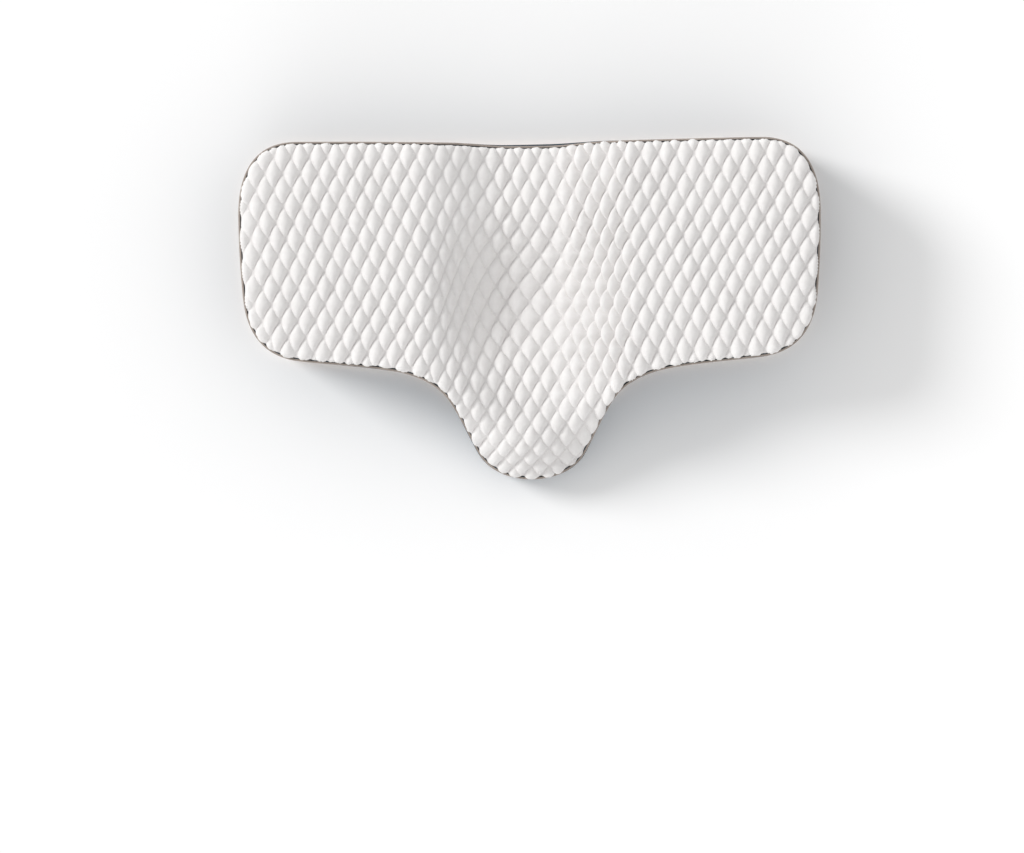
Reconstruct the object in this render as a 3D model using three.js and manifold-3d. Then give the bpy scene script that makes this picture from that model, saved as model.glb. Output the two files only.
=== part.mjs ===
// A contoured pillow: two high wings, a bowl for the head between them, and a low tongue for the neck.
// The filled body carries the quilted top. A mesh border and a plain band go round its sides,
// a base panel closes it below, and piping runs in the seam round the top.
// Millimetres, +Z up. X runs across the wings, and -Y is the side of the tongue.
import * as THREE from 'three';
import { mergeVertices } from 'three/addons/utils/BufferGeometryUtils.js';
import Module from 'manifold-3d';

const wasm = await Module();
wasm.setup();

// Driving dimensions
const CROWN = 130;            // top of the puffs on the wings
const GAP = 0.3;              // room between neighbouring pieces
const DIAMOND_WIDTH = 19.3;   // one quilted diamond across
const DIAMOND_LENGTH = 35.4;  // one quilted diamond from front to back
const LATTICE_Y = 27;         // a row of puffs that has one on the middle line
const PUFF = { rise: 4.2, tierReach: 0.5, tierRise: 0.78 };
const PIPING = { radius: 1.2, sides: 6 };
const BORDER = { thick: 3, swell: 1.2 };  // spacer mesh and band
const BASE = { thick: 2.6, roll: 18, rim: 0.6 };

// Heights of the two seams
const SEAM_WING = 117.5;    // top seam on the wings
const SEAM_TIP = 40;        // top seam round the tip of the tongue
const SEAM_BACK_DIP = 34;   // how far the top seam sinks behind the bowl
const DRAW_IN = { depth: 3, from: 20, to: 85 };  // that dip is pulled forwards, less away from the middle
const LOW_SEAM_WING = 8;    // lower seam on the wings
const LOW_SEAM_TIP = 1.6;   // lower seam under the tongue
const LOW_SEAM_RISE = { from: -118, to: -84 };

// The hollows between the wings
const VALLEY = { floor: 18, top: 122 };           // half widths where the slopes start and end
const BOWL = { y: 15, reach: 108, deep: 31 };     // middle, half length and depth of the bowl
const NECK_TOP = 94;                              // top of the neck roll and of the back edge
const BACK = { from: 40, to: 140 };               // where the bowl gives way to the back edge
const TONGUE = { low: -166, high: -70, bend: 0.9 };  // where the tongue's seam starts and stops rising
const TONGUE_ROLL = { reach: 66, power: 1.05 };   // how the crown falls to the seam on the tongue
const WING_ROLL = { from: -125, to: -65, short: 24, long: 105, share: 0.6 };

// How the flat cloth is stretched in the bowl, crowded on the slopes and gathered on the tongue
const CLOTH = { middle: 20, reach: 125, stretch: 8.5, stretched: 100 };
const CROWDED = { from: 50, to: 120, least: 4.5, bowl: 6 };
const GATHERED = { from: -80, to: -110, share: 0.18 };

// Half of the outline seen from above, as knots with the heading of the edge in degrees.
// steps is the number of facets from the knot before, and full is how far a corner is squared.
const OUTLINE = [
  { x: 0, y: 182, heading: 0, steps: 0, full: 1 },
  { x: 130, y: 183.6, heading: 1, steps: 7, full: 1 },
  { x: 252, y: 185, heading: 0, steps: 3, full: 1 },
  { x: 315, y: 105, heading: -90, steps: 9, full: 1.16 },
  { x: 311, y: 18, heading: -95, steps: 3, full: 1 },
  { x: 250, y: -52.5, heading: -173, steps: 9, full: 1.14 },
  { x: 150, y: -64, heading: -170, steps: 4, full: 1 },
  { x: 88, y: -99, heading: -122, steps: 6, full: 1 },
  { x: 59, y: -155, heading: -118, steps: 5, full: 1 },
  { x: 0, y: -185, heading: -180, steps: 8, full: 1 },
];
const BORDER_END_X = 299;   // the mesh border ends at upright seams just inside this

const COLOURS = {
  quilt: { color: 0xf2f0ee, roughness: 0.85, metalness: 0 },
  mesh: { color: 0x24425c, roughness: 0.8, metalness: 0 },
  band: { color: 0x3c4654, roughness: 0.9, metalness: 0 },
  base: { color: 0xe6d3c6, roughness: 0.8, metalness: 0 },
  cord: { color: 0x9c9087, roughness: 0.75, metalness: 0 },
};

const { clamp, degToRad, lerp, smoothstep } = THREE.MathUtils;

// Seen from above: the outline

// One curve between two knots: a circular arc where the headings allow it.
function edgeCurve(from, to) {
  const start = new THREE.Vector2(from.x, from.y);
  const end = new THREE.Vector2(to.x, to.y);
  const turn = Math.max(Math.abs(degToRad(to.heading - from.heading)), 0.01);
  const handle = start.distanceTo(end) * (2 / 3) * (Math.tan(turn / 4) / Math.sin(turn / 2)) * to.full;
  const along = (knot, side) => new THREE.Vector2(
    knot.x + side * handle * Math.cos(degToRad(knot.heading)),
    knot.y + side * handle * Math.sin(degToRad(knot.heading)));
  return new THREE.CubicBezierCurve(start, along(from, 1), along(to, -1), end);
}

function halfOutline() {
  const points = [new THREE.Vector2(OUTLINE[0].x, OUTLINE[0].y)];
  for (let row = 1; row < OUTLINE.length; row += 1) {
    const curve = edgeCurve(OUTLINE[row - 1], OUTLINE[row]);
    points.push(...curve.getSpacedPoints(OUTLINE[row].steps).slice(1));
  }
  return points;
}

// The whole outline, anticlockwise, each station with its inward direction.
function outlineStations() {
  const right = halfOutline();
  const left = right.slice(1, -1).map((point) => new THREE.Vector2(-point.x, point.y));
  const loop = [...left, ...right.reverse()];
  return loop.map((point, index) => {
    const before = loop[(index + loop.length - 1) % loop.length];
    const after = loop[(index + 1) % loop.length];
    const way = after.clone().sub(before).normalize();
    return { x: point.x, y: point.y, inX: -way.y, inY: way.x };
  });
}

const STATIONS = outlineStations();

function distanceToOutline(x, y) {
  const point = new THREE.Vector3(x, y, 0);
  const nearest = new THREE.Vector3();
  const side = new THREE.Line3();
  let best = Infinity;
  STATIONS.forEach((station, index) => {
    const next = STATIONS[(index + 1) % STATIONS.length];
    side.start.set(station.x, station.y, 0);
    side.end.set(next.x, next.y, 0);
    best = Math.min(best, side.closestPointToPoint(point, true, nearest).distanceTo(point));
  });
  return best;
}

// Heights

const valley = (x) => smoothstep(Math.abs(x), VALLEY.floor, VALLEY.top);
const onBack = (y) => smoothstep(y, BACK.from, BACK.to);

function seamHeight(x, y) {
  const rise = clamp((y - TONGUE.low) / (TONGUE.high - TONGUE.low), 0, 1) ** TONGUE.bend;
  const front = lerp(SEAM_TIP, SEAM_WING, smoothstep(rise, 0, 1));
  return front - SEAM_BACK_DIP * (1 - valley(x)) * onBack(y);
}

function lowSeamHeight(y) {
  return lerp(LOW_SEAM_TIP, LOW_SEAM_WING, smoothstep(y, LOW_SEAM_RISE.from, LOW_SEAM_RISE.to));
}

// How far the base panel's rim lies inside the outline: tucked behind the border on the tongue.
function baseRim(station) {
  const raised = smoothstep(lowSeamHeight(station.y), LOW_SEAM_TIP, LOW_SEAM_WING);
  return lerp(BORDER.thick + GAP, BASE.rim, raised);
}

const borderTop = (station) => seamHeight(station.x, station.y) - PIPING.radius - GAP;

function drawIn(x, y) {
  return DRAW_IN.depth * (1 - smoothstep(Math.abs(x), DRAW_IN.from, DRAW_IN.to)) * onBack(y);
}

// Middle line from the neck roll through the bowl to the back.
function middleCrown(y) {
  const u = clamp((y - BOWL.y) / BOWL.reach, -1, 1);
  return NECK_TOP - BOWL.deep * 0.5 * (1 + Math.cos(Math.PI * u));
}

const quarterRound = (u) => Math.sqrt(1 - (1 - clamp(u, 0, 1)) ** 2);

// The filled surface along the stitch lines, rolled down to the seam at the outline.
function fillHeight(x, y) {
  const d = distanceToOutline(x, y);
  const crown = lerp(middleCrown(y), CROWN, valley(x)) - PUFF.rise;
  const wing = WING_ROLL.share * quarterRound(d / WING_ROLL.short)
    + (1 - WING_ROLL.share) * quarterRound(d / WING_ROLL.long);
  const tongue = Math.sin((Math.PI / 2) * clamp(d / TONGUE_ROLL.reach, 0, 1)) ** TONGUE_ROLL.power;
  const seam = seamHeight(x, y);
  return seam + (crown - seam) * lerp(tongue, wing, smoothstep(y, WING_ROLL.from, WING_ROLL.to));
}

// Quilting: the diamonds are even in the flat cloth, and stretch or crowd as it follows the fill.

// How much longer the cloth is than the plan along the middle line, from LATTICE_Y: by its slope,
// and by its gathers on the tongue.
function slopeLength(y) {
  const pieces = 24;
  const step = (y - LATTICE_Y) / pieces;
  let extra = 0;
  for (let piece = 0; piece < pieces; piece += 1) {
    const middle = LATTICE_Y + (piece + 0.5) * step;
    const rise = fillHeight(0, middle + 1) - fillHeight(0, middle - 1);
    const gathered = 1 + GATHERED.share * smoothstep(-middle, -GATHERED.from, -GATHERED.to);
    extra += (Math.hypot(1, rise / 2) * gathered - 1) * step;
  }
  return extra;
}

const SLOPE_FROM = -190;
const SLOPE_TO = 190;
const SLOPE_STEP = 5;
const SLOPES = [];
for (let y = SLOPE_FROM; y <= SLOPE_TO; y += SLOPE_STEP) {
  SLOPES.push(slopeLength(y));
}

function clothLengthening(x, y) {
  const place = clamp((y - SLOPE_FROM) / SLOPE_STEP, 0, SLOPES.length - 1.001);
  const index = Math.floor(place);
  const extra = lerp(SLOPES[index], SLOPES[index + 1], place - index);
  return extra * lerp(1, 1 - valley(x), smoothstep(y, WING_ROLL.from, WING_ROLL.to));
}

// How far the cloth lies outside its flat place: stretched in the bowl, crowded on the slopes.
function clothDrift(x, y) {
  const bowl = Math.cos((Math.PI / 2) * clamp((y - CLOTH.middle) / CLOTH.reach, -1, 1)) ** 2;
  const stretch = CLOTH.stretch * bowl * Math.sin(Math.PI * Math.min(Math.abs(x) / CLOTH.stretched, 1));
  const crowd = (CROWDED.least + CROWDED.bowl * bowl) * smoothstep(Math.abs(x), CROWDED.from, CROWDED.to);
  return Math.sign(x) * (stretch - crowd);
}

// Where a point of the flat cloth lies in plan.
function layCloth(across, along) {
  let x = across;
  let y = along;
  for (let round = 0; round < 16; round += 1) {
    x = across + clothDrift(x, y);
    y = along - clothLengthening(x, y);
  }
  return { x, y };
}

// Solids from rows of points

function geometryFrom(vertices, triangles) {
  const geometry = new THREE.BufferGeometry();
  geometry.setAttribute('position', new THREE.Float32BufferAttribute(vertices.flat(), 3));
  geometry.setIndex(triangles.flat());
  return geometry;
}

function toManifold(geometry) {
  const merged = mergeVertices(geometry, 1e-4);
  return new wasm.Manifold(new wasm.Mesh({
    numProp: 3,
    vertProperties: merged.attributes.position.array,
    triVerts: new Uint32Array(merged.index.array),
  }));
}

function fromManifold(solid) {
  const mesh = solid.getMesh();
  const geometry = new THREE.BufferGeometry();
  geometry.setAttribute('position', new THREE.BufferAttribute(mesh.vertProperties, 3));
  geometry.setIndex(new THREE.BufferAttribute(mesh.triVerts, 1));
  return geometry;
}

// Triangles between two rows of points. The diagonals run the same way up in a falling strip
// as in a rising one, so that neighbouring pieces have parallel facets.
function strip(rows, first, second, closed) {
  const count = rows[first].length;
  const falling = rows[second][0][2] < rows[first][0][2];
  const triangles = [];
  for (let index = 0; index < (closed ? count : count - 1); index += 1) {
    const next = (index + 1) % count;
    const [a, b] = [first * count + index, first * count + next];
    const [c, d] = [second * count + next, second * count + index];
    triangles.push(...(falling ? [[a, b, d], [b, c, d]] : [[a, b, c], [a, c, d]]));
  }
  return triangles;
}

// A solid from a closed list of rings round the whole outline.
function ringSolid(rings) {
  const triangles = rings.flatMap((ring, index) => strip(rings, index, (index + 1) % rings.length, true));
  return geometryFrom(rings.flat(), triangles);
}

// A solid from rings stacked from the bottom to the top, closed by a flat face at each end.
function stackSolid(rings) {
  const triangles = rings.slice(1).flatMap((ring, index) => strip(rings, index, index + 1, true));
  const flat = (ring) => ring.map(([x, y]) => new THREE.Vector2(x, y));
  const cap = (ring) => THREE.ShapeUtils.triangulateShape(flat(ring), []);
  const top = (rings.length - 1) * rings[0].length;
  cap(rings[0]).forEach(([a, b, c]) => triangles.push([a, c, b]));
  cap(rings[rings.length - 1]).forEach(([a, b, c]) => triangles.push([top + a, top + b, top + c]));
  return geometryFrom(rings.flat(), triangles);
}

// A solid from a closed section carried along a run of stations, with flat ends.
function runSolid(rows) {
  const sides = rows[0].map((corner, side) => rows.map((row) => row[side]));
  const length = rows.length;
  const triangles = sides.flatMap((side, index) => strip(sides, index, (index + 1) % sides.length, false));
  for (let side = 1; side < sides.length - 1; side += 1) {
    triangles.push([0, side * length, (side + 1) * length]);
    triangles.push([length - 1, (side + 2) * length - 1, (side + 1) * length - 1]);
  }
  return geometryFrom(sides.flat(), triangles);
}

const inset = (station, depth, z) => [station.x + station.inX * depth, station.y + station.inY * depth, z];
const ringAt = (place) => STATIONS.map((station) => inset(station, ...place(station)));

// The pieces

// A block whose top is the quilted surface, with one low pyramid of two tiers for each puff.
function quiltedBlock() {
  const half = [DIAMOND_WIDTH / 2, DIAMOND_LENGTH / 2];
  const floor = -20;
  const vertices = [];
  const places = new Map();
  const vertex = (across, along, rise) => {
    const key = `${Math.round(across * 100)},${Math.round(along * 100)}`;
    if (!places.has(key)) {
      const { x, y } = layCloth(across, along);
      places.set(key, vertices.length);
      vertices.push([x, y, fillHeight(x, y) + rise * PUFF.rise]);
    }
    return places.get(key);
  };
  const corners = [[1, 0], [0, 1], [-1, 0], [0, -1]];
  const top = [];
  for (let row = -16; row <= 10; row += 1) {
    for (let column = -34 + (Math.abs(row) % 2); column <= 34; column += 2) {
      const across = column * half[0];
      const along = LATTICE_Y + row * half[1];
      const at = ([i, j], reach, rise) =>
        vertex(across + i * reach * half[0], along + j * reach * half[1], rise);
      const centre = vertex(across, along, 1);
      const tier = corners.map((corner) => at(corner, PUFF.tierReach, PUFF.tierRise));
      const stitch = corners.map((corner) => at(corner, 1, 0));
      corners.forEach((corner, index) => {
        const next = (index + 1) % corners.length;
        top.push([centre, tier[index], tier[next]]);
        top.push([tier[index], stitch[index], stitch[next]]);
        top.push([tier[index], stitch[next], tier[next]]);
      });
    }
  }
  const count = vertices.length;
  const bottom = top.map(([a, b, c]) => [count + a, count + c, count + b]);
  const edges = new Set(top.flatMap(([a, b, c]) => [`${a},${b}`, `${b},${c}`, `${c},${a}`]));
  const skirt = [];
  edges.forEach((edge) => {
    const [a, b] = edge.split(',').map(Number);
    if (!edges.has(`${b},${a}`)) {
      skirt.push([b, a, count + a], [b, count + a, count + b]);
    }
  });
  const under = vertices.map(([x, y]) => [x, y, floor]);
  return geometryFrom([...vertices, ...under], [...top, ...bottom, ...skirt]);
}

// The body inside the border, open above for the quilted surface to close.
function bodyWalls() {
  const wall = BORDER.thick + GAP;
  const notch = (station) => baseRim(station) + BASE.thick + 2 * GAP;
  const low = BASE.thick + GAP;
  const edge = (station) => Math.max(lowSeamHeight(station.y), low + 0.4);
  const rolled = (share) => (station) => [
    lerp(BASE.roll + BASE.thick, notch(station), share),
    low + (edge(station) - low) * (1 - quarterRound(1 - share)),
  ];
  const high = (station) => [wall + drawIn(station.x, station.y), CROWN + 30];
  return stackSolid([
    ringAt(rolled(0)),
    ringAt(rolled(0.55)),
    ringAt((station) => [notch(station), edge(station)]),
    ringAt((station) => [wall, edge(station) + 0.2]),
    ringAt((station) => [wall + drawIn(station.x, station.y), borderTop(station)]),
    ringAt(high),
  ]);
}

function quiltedTop() {
  return fromManifold(toManifold(quiltedBlock()).intersect(toManifold(bodyWalls())));
}

function piping() {
  const rings = Array.from({ length: PIPING.sides }, (unused, side) => {
    const turn = (side / PIPING.sides) * 2 * Math.PI;
    return ringAt((station) => [
      PIPING.radius + drawIn(station.x, station.y) - PIPING.radius * Math.cos(turn),
      seamHeight(station.x, station.y) + PIPING.radius * Math.sin(turn),
    ]);
  });
  return ringSolid(rings);
}

// A strip of side fabric along a run of stations, swelling a little between its seams.
function sideStrip(run) {
  return runSolid(run.map((station) => {
    const low = lowSeamHeight(station.y);
    const high = borderTop(station);
    const pull = drawIn(station.x, station.y);
    return [
      inset(station, BORDER.swell, low),
      inset(station, 0, lerp(low, high, 0.25)),
      inset(station, pull * 0.6, lerp(low, high, 0.8)),
      inset(station, BORDER.swell * 0.5 + pull, high),
      inset(station, BORDER.thick + pull, high),
      inset(station, BORDER.thick, low),
    ];
  }));
}

const isFront = (station) => station.y < 90 && Math.abs(station.x) < BORDER_END_X;

// A station moved along the outline by half the room at an upright seam.
function seamStation(from, towards) {
  const share = (0.5 * GAP) / Math.hypot(towards.x - from.x, towards.y - from.y);
  const blend = (key) => lerp(from[key], towards[key], share);
  return { x: blend('x'), y: blend('y'), inX: blend('inX'), inY: blend('inY') };
}

// The stations of one strip, cut back a little at both ends.
function stripRun(belongs) {
  const count = STATIONS.length;
  const first = STATIONS.findIndex((station, index) =>
    belongs(station) && !belongs(STATIONS[(index + count - 1) % count]));
  const run = [];
  for (let index = first; belongs(STATIONS[index % count]); index += 1) {
    run.push(STATIONS[index % count]);
  }
  return run;
}

function frontRun() {
  const run = stripRun(isFront);
  const last = run.length - 1;
  return [seamStation(run[0], run[1]), ...run.slice(1, last), seamStation(run[last], run[last - 1])];
}

function backRun() {
  const front = stripRun(isFront);
  const back = stripRun((station) => !isFront(station));
  return [
    seamStation(front[front.length - 1], back[0]),
    ...back,
    seamStation(front[0], back[back.length - 1]),
  ];
}

// A sheet that lies flat and rolls up to the lower seam all round.
function basePanel() {
  const rolled = (share, lift, cut) => (station) => {
    const edge = Math.max(lowSeamHeight(station.y) - GAP, lift + 0.1);
    return [
      lerp(BASE.roll + cut, baseRim(station) + cut, share),
      lift + (edge - lift) * (1 - quarterRound(1 - share)),
    ];
  };
  const shares = [0, 0.55, 1];
  const outer = shares.map((share) => ringAt(rolled(share, 0, 0)));
  const inner = shares.map((share) => ringAt(rolled(share, BASE.thick, BASE.thick)));
  return stackSolid([...outer, ...inner.reverse()]);
}

function mesh(name, geometry, finish) {
  const piece = new THREE.Mesh(geometry, new THREE.MeshStandardMaterial(finish));
  piece.name = name;
  return piece;
}

const pillow = new THREE.Group();
pillow.add(
  mesh('quilted_top', quiltedTop(), COLOURS.quilt),
  mesh('mesh_border', sideStrip(frontRun()), COLOURS.mesh),
  mesh('back_band', sideStrip(backRun()), COLOURS.band),
  mesh('base_panel', basePanel(), COLOURS.base),
  mesh('piping', piping(), COLOURS.cord),
);

export default pillow;
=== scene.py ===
# %% [markdown]
# # A contoured pillow with a quilted top
# The pillow lies on its base and is seen from straight above: two high wings, a bowl for the head
# between them, and a low tongue for the neck. Five pieces are sewn together: the quilted top over the
# filling, a navy mesh border round the front, a slate band round the ends and the back, a cream base,
# and a thin piping in the top seam. Each is a surface worked out with numpy from the same outline.

import bmesh
import bpy
import numpy as np
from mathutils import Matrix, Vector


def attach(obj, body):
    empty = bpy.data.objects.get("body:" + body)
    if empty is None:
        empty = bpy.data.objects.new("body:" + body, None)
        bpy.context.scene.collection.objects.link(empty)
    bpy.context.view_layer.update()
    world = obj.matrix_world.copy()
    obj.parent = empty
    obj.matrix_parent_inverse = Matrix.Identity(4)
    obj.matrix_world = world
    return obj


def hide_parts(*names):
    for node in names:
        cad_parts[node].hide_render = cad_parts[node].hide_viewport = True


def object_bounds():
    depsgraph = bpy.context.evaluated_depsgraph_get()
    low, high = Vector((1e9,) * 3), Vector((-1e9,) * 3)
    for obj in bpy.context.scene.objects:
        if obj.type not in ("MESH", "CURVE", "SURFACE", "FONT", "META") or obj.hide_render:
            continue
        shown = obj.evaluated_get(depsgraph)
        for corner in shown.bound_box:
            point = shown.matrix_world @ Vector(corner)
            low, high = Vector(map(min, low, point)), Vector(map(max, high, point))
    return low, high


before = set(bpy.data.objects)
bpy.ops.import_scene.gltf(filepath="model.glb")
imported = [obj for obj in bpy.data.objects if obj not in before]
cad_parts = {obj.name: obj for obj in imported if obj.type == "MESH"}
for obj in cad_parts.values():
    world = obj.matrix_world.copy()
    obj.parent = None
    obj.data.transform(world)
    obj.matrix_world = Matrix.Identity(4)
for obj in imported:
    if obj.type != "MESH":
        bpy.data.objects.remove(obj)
frame_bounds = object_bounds()
low_corner, high_corner = (np.array(corner) for corner in frame_bounds)
HALF_WIDTH, HALF_DEPTH = (high_corner - low_corner)[:2] / 2
CROWN = high_corner[2]
MM = 0.001
print(f"frame: {2 * HALF_WIDTH:.3f} by {2 * HALF_DEPTH:.3f} m, {CROWN:.3f} m high")

# %% [markdown]
# ## Camera, light and floor
# The photo looks straight down with a long lens, and turns the pillow by about half a degree. The
# lens's shift places the pillow in the upper part of the picture, so that the camera stays over its
# middle. A large soft light at the left shades the right side of each puff, a weak low one lights the
# front of the border, and a pale world fills in. Both are suns: a lamp close by would be brighter on one
# wing than on the other.

# %% Camera
IMAGE_WIDTH, IMAGE_HEIGHT = 1024, 853
PILLOW_PIXELS = 581  # the width of the pillow in the picture
PILLOW_MIDDLE = (530.5, 310.5)
SENSOR = 36.0
LENS = 200.0
WIDEST_HEIGHT = 0.1  # the widest part of the sides
ROLL_DEGREES = 0.6

view_width = 2 * HALF_WIDTH * IMAGE_WIDTH / PILLOW_PIXELS
camera_data = bpy.data.cameras.new("camera")
camera_data.sensor_width = SENSOR
camera_data.lens = LENS
camera_data.shift_x = (IMAGE_WIDTH / 2 - PILLOW_MIDDLE[0]) / IMAGE_WIDTH
camera_data.shift_y = (PILLOW_MIDDLE[1] - IMAGE_HEIGHT / 2) / IMAGE_WIDTH
camera = bpy.data.objects.new("camera", camera_data)
camera.location = (0, 0, WIDEST_HEIGHT + view_width * LENS / SENSOR)
camera.rotation_euler = (0, 0, -np.radians(ROLL_DEGREES))
bpy.context.scene.collection.objects.link(camera)
bpy.context.scene.camera = camera
print(f"camera {camera.location[2]:.2f} m above the floor")


# %% Light
def sunlight(name, azimuth, elevation, strength, spread):
    """Even light from one direction: azimuth in degrees from +X, and spread is how soft it is."""
    data = bpy.data.lights.new(name, "SUN")
    data.energy = strength
    data.angle = np.radians(spread)
    light = bpy.data.objects.new(name, data)
    light.rotation_euler = (0, np.radians(90 - elevation), np.radians(azimuth))
    bpy.context.scene.collection.objects.link(light)
    print(f"{name}: {elevation} degrees above the floor")


sunlight("key light", azimuth=154, elevation=33, strength=1.69, spread=20)
sunlight("front light", azimuth=255, elevation=14, strength=0.45, spread=40)

# %% World and floor
WORLD_STRENGTH = 0.745
FLOOR_HALF = 6.0

world = bpy.data.worlds.new("studio")
world.use_nodes = True
background = world.node_tree.nodes["Background"]
background.inputs["Color"].default_value = (1.0, 1.0, 1.0, 1)
background.inputs["Strength"].default_value = WORLD_STRENGTH
bpy.context.scene.world = world
bpy.context.scene.view_settings.view_transform = "Standard"

floor_mesh = bpy.data.meshes.new("floor")
corners = [(x * FLOOR_HALF, y * FLOOR_HALF, 0) for x, y in ((-1, -1), (1, -1), (1, 1), (-1, 1))]
floor_mesh.from_pydata(corners, [], [(0, 1, 2, 3)])
floor = bpy.data.objects.new("floor", floor_mesh)
bpy.context.scene.collection.objects.link(floor)
print(f"floor {2 * FLOOR_HALF:.0f} m across")

# %% [markdown]
# ## The outline
# All five pieces follow one outline. Half of it is ten knots with the heading of the edge at each, and
# a circular or squared arc between two knots. The other half is its mirror image. The loop is then cut
# into even steps, so that a texture runs evenly along the sides. A curve object could hold the same
# outline, but every formula below needs it as an array.

# %% Outline
# x, y, heading in degrees, and how far the arc before the knot is squared
KNOTS = [
    (0.000, 0.1820, 0, 1.0),
    (0.130, 0.1836, 1, 1.0),
    (0.252, 0.1850, 0, 1.0),
    (0.315, 0.1050, -90, 1.16),
    (0.311, 0.0180, -95, 1.0),
    (0.250, -0.0525, -173, 1.14),
    (0.150, -0.0640, -170, 1.0),
    (0.088, -0.0990, -122, 1.0),
    (0.059, -0.1550, -118, 1.0),
    (0.000, -0.1850, -180, 1.0),
]
ARC_STEPS = 60
STATIONS = 1200
SMALLEST_TURN = 0.01  # radians, for an arc that is straight


def edge_arc(start, end):
    """Points of a cubic curve: each handle is chord * 2/3 * tan(turn/4) / sin(turn/2), times the
    squaring, which is a circular arc for even headings. The first point is left out."""
    (x0, y0, h0, _), (x1, y1, h1, full) = start, end
    turn = max(abs(np.radians(h1 - h0)), SMALLEST_TURN)
    reach = np.hypot(x1 - x0, y1 - y0) * 2 / 3 * np.tan(turn / 4) / np.sin(turn / 2) * full
    heading = [np.array((np.cos(np.radians(h)), np.sin(np.radians(h)))) for h in (h0, h1)]
    corner = [np.array((x0, y0)), np.array((x1, y1))]
    t = np.linspace(0, 1, ARC_STEPS + 1)[1:, None]
    first, second = corner[0] + reach * heading[0], corner[1] - reach * heading[1]
    near, far = (1 - t) ** 3 * corner[0] + t**3 * corner[1], 3 * t * (1 - t) ** 2 * first
    return near + far + 3 * t**2 * (1 - t) * second


def even_loop(points, count):
    """The closed loop through points, cut again into count steps of one length, and its length."""
    closed = np.vstack([points, points[:1]])
    run = np.concatenate([[0], np.cumsum(np.linalg.norm(np.diff(closed, axis=0), axis=1))])
    at = np.linspace(0, run[-1], count, endpoint=False)
    return np.stack([np.interp(at, run, closed[:, axis]) for axis in (0, 1)], 1), run[-1]


right_half = np.vstack([[KNOTS[0][:2]], *(edge_arc(a, b) for a, b in zip(KNOTS, KNOTS[1:]))])
left_half = right_half[1:-1] * (-1, 1)
OUTLINE, PERIMETER = even_loop(np.vstack([left_half, right_half[::-1]]), STATIONS)
forward = np.roll(OUTLINE, -1, 0) - np.roll(OUTLINE, 1, 0)
forward /= np.linalg.norm(forward, axis=1)[:, None]
INWARD = np.stack([-forward[:, 1], forward[:, 0]], 1)
ALONG = np.arange(STATIONS) * PERIMETER / STATIONS
print(f"outline: {PERIMETER:.3f} m round, a station each {1000 * PERIMETER / STATIONS:.2f} mm")

# %% [markdown]
# ## Heights of the seams and the filling
# The foam is cut to one height for each place in plan, so numbers say it better than a mesh that is
# pushed and pulled. Across, the two slopes of the valley are smooth steps. From front to back, the
# middle line rises over the neck roll, sinks into the bowl and rises to the back. At the edge the cloth
# rolls down to the top seam, which itself drops along the tongue and behind the bowl.


# %% Smooth steps
def step(value, start, end):
    """A smooth step: 3 u^2 - 2 u^3, where u runs from 0 at start to 1 at end."""
    u = np.clip((value - start) / (end - start), 0, 1)
    return u * u * (3 - 2 * u)


def mix(a, b, share):
    """a where share is 0, b where it is 1."""
    return a + (b - a) * share


def round_over(u):
    """A quarter circle: it rises steeply from 0 and is level at 1."""
    return np.sqrt(1 - (1 - np.clip(u, 0, 1)) ** 2)


# %% Seams
SEAM_WING, SEAM_TIP, SEAM_BACK_DIP = 117.5 * MM, 40 * MM, 34 * MM
LOW_SEAM_WING, LOW_SEAM_TIP = 8 * MM, 1.6 * MM
DRAW_IN = 3 * MM
# Stretches of x or y, in metres, over which one form passes into the next
VALLEY_SIDE = (0.018, 0.122)
TOWARDS_BACK = (0.04, 0.14)
SEAM_CLIMB_START, SEAM_CLIMB_LENGTH = -0.166, 0.096
LOW_SEAM_CLIMB = (-0.118, -0.084)
DRAW_IN_FADE = (0.02, 0.085)


def valley(x):
    """0 in the middle of the pillow, 1 on the wings: a smooth step out from the middle line."""
    return step(np.abs(x), *VALLEY_SIDE)


def seam_height(x, y):
    """Top seam: a smooth step of u^0.9 from the tongue's tip up to the wings, less a dip behind the
    bowl, which is (1 - valley) times a smooth step towards the back."""
    rise = np.clip((y - SEAM_CLIMB_START) / SEAM_CLIMB_LENGTH, 0, 1) ** 0.9
    front = mix(SEAM_TIP, SEAM_WING, step(rise, 0, 1))
    return front - SEAM_BACK_DIP * (1 - valley(x)) * step(y, *TOWARDS_BACK)


def low_seam_height(y):
    """Lower seam: a smooth step from near the floor at the tongue up to the wings, where the base
    rolls up."""
    return mix(LOW_SEAM_TIP, LOW_SEAM_WING, step(y, *LOW_SEAM_CLIMB))


def draw_in(x, y):
    """How far the top seam is pulled forwards behind the bowl: a smooth step that fades out from the
    middle line, times one towards the back."""
    return DRAW_IN * (1 - step(np.abs(x), *DRAW_IN_FADE)) * step(y, *TOWARDS_BACK)


# %% Filling
NECK_TOP, BOWL_DEEP, BOWL_MIDDLE, BOWL_REACH = 94 * MM, 31 * MM, 15 * MM, 108 * MM
CREASE_DEPTH = 4.2 * MM  # how far the stitch lines lie below the crown
EDGE_ROLL, WIDE_ROLL, TONGUE_ROLL = 0.024, 0.105, 0.066
TONGUE_TO_WING = (-0.125, -0.065)


def middle_crown(y):
    """Height along the middle line: the neck roll's, less one cosine wave for the bowl."""
    u = np.clip((y - BOWL_MIDDLE) / BOWL_REACH, -1, 1)
    return NECK_TOP - BOWL_DEEP * 0.5 * (1 + np.cos(np.pi * u))


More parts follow.
